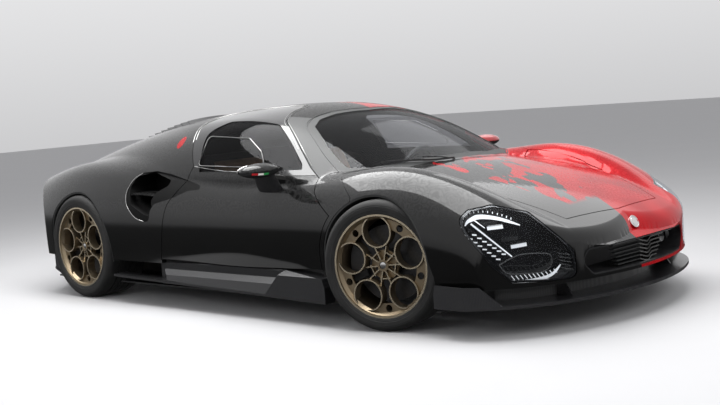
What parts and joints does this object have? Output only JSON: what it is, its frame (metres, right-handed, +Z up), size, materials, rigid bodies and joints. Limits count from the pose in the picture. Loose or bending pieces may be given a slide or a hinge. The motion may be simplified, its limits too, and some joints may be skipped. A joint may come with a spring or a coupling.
{
  "type": "mid-engine supercar",
  "caption": "Low mid-engine two-seat coupe with butterfly doors, a front luggage lid, an engine lid, steered front wheels and alloy wheels with round openings.",
  "frame": {"origin": "on the ground under the middle of the car", "axes": "+X forward to the nose, +Y to the car's left, +Z up"},
  "size_m": [4.64, 2.274, 1.1846],
  "materials": {
    "carbon": "satin woven carbon fibre",
    "casting": "cast",
    "liner": "matt black",
    "alloy": "satin",
    "glass": "tinted clear",
    "paint": "gloss black with a tone-on-tone pattern, red on one front fender",
    "lamp": "clear lens over a black housing",
    "bright": "polished",
    "tail_lamp": "smoked red",
    "leather": "tan, ribbed",
    "trim": "black",
    "wheel": "champagne satin paint",
    "tyre": "black",
    "disc": "drilled and vented"
  },
  "bodies": {
    "chassis": {"tub": "carbon", "undertray": "carbon", "compartments": "carbon", "engine_block": "casting", "wheel_liners": "liner", "suspension": "alloy", "rear_uprights": "alloy", "windscreen": "glass", "cowl": "paint", "roof": "paint", "front_fenders": "paint", "front_bumper": "paint", "headlights": "lamp", "grille": "bright", "splitter": "carbon", "rear_quarters": "paint", "tail": "paint", "tail_lights": "tail_lamp", "diffuser": "carbon", "side_skirts": "carbon", "seats": "leather", "dashboard": "trim", "steering_wheel": "trim"},
    "hood": {"hood": "paint"},
    "engine_lid": {"engine_lid": "paint"},
    "door_left": {"door_left": "paint", "door_window_left": "glass", "mirror_left": "paint"},
    "knuckle_left": {"knuckle_left": "alloy"},
    "door_right": {"door_right": "paint", "door_window_right": "glass", "mirror_right": "paint"},
    "knuckle_right": {"knuckle_right": "alloy"},
    "wheel_front_left": {"rim_front_left": "wheel", "tyre_front_left": "tyre", "brake_disc_front_left": "disc"},
    "wheel_front_right": {"rim_front_right": "wheel", "tyre_front_right": "tyre", "brake_disc_front_right": "disc"},
    "wheel_rear_left": {"rim_rear_left": "wheel", "tyre_rear_left": "tyre", "brake_disc_rear_left": "disc"},
    "wheel_rear_right": {"rim_rear_right": "wheel", "tyre_rear_right": "tyre", "brake_disc_rear_right": "disc"}
  },
  "joints": [
    {"name": "door_left_hinge", "type": "hinge", "parent": "chassis", "child": "door_left", "pos_m": [0.787, 0.845, 0.817], "axis": [0.778, 0.4074, -0.4783], "range_deg": [0, 65]},
    {"name": "door_right_hinge", "type": "hinge", "parent": "chassis", "child": "door_right", "pos_m": [0.787, -0.845, 0.817], "axis": [-0.778, 0.4074, 0.4783], "range_deg": [0, 65]},
    {"name": "hood_hinge", "type": "hinge", "parent": "chassis", "child": "hood", "pos_m": [1.127, 0, 0.8], "axis": [0, -1, 0], "range_deg": [0, 55]},
    {"name": "engine_lid_hinge", "type": "hinge", "parent": "chassis", "child": "engine_lid", "pos_m": [-0.703, 0, 1.163], "axis": [0, 1, 0], "range_deg": [0, 45]},
    {"name": "steer_left", "type": "hinge", "parent": "chassis", "child": "knuckle_left", "pos_m": [1.27, 0.785, 0.34], "axis": [0, 0, 1], "range_deg": [-47, 19]},
    {"name": "steer_right", "type": "hinge", "parent": "chassis", "child": "knuckle_right", "pos_m": [1.27, -0.785, 0.34], "axis": [0, 0, 1], "range_deg": [-47, 19]},
    {"name": "wheel_front_left_spin", "type": "hinge", "parent": "knuckle_left", "child": "wheel_front_left", "pos_m": [1.25851, 0.83109, 0.34], "axis": [-0.2419, 0.9703, 0], "continuous": true},
    {"name": "wheel_front_right_spin", "type": "hinge", "parent": "knuckle_right", "child": "wheel_front_right", "pos_m": [1.28149, -0.83109, 0.34], "axis": [-0.2419, 0.9703, 0], "continuous": true},
    {"name": "wheel_rear_left_spin", "type": "hinge", "parent": "chassis", "child": "wheel_rear_left", "pos_m": [-1.43, 0.8195, 0.346], "axis": [0, 1, 0], "continuous": true},
    {"name": "wheel_rear_right_spin", "type": "hinge", "parent": "chassis", "child": "wheel_rear_right", "pos_m": [-1.43, -0.8195, 0.346], "axis": [0, 1, 0], "continuous": true}
  ],
  "couplings": [
    {"joint": "steer_right", "follows": "steer_left", "ratio": 1}
  ]
}
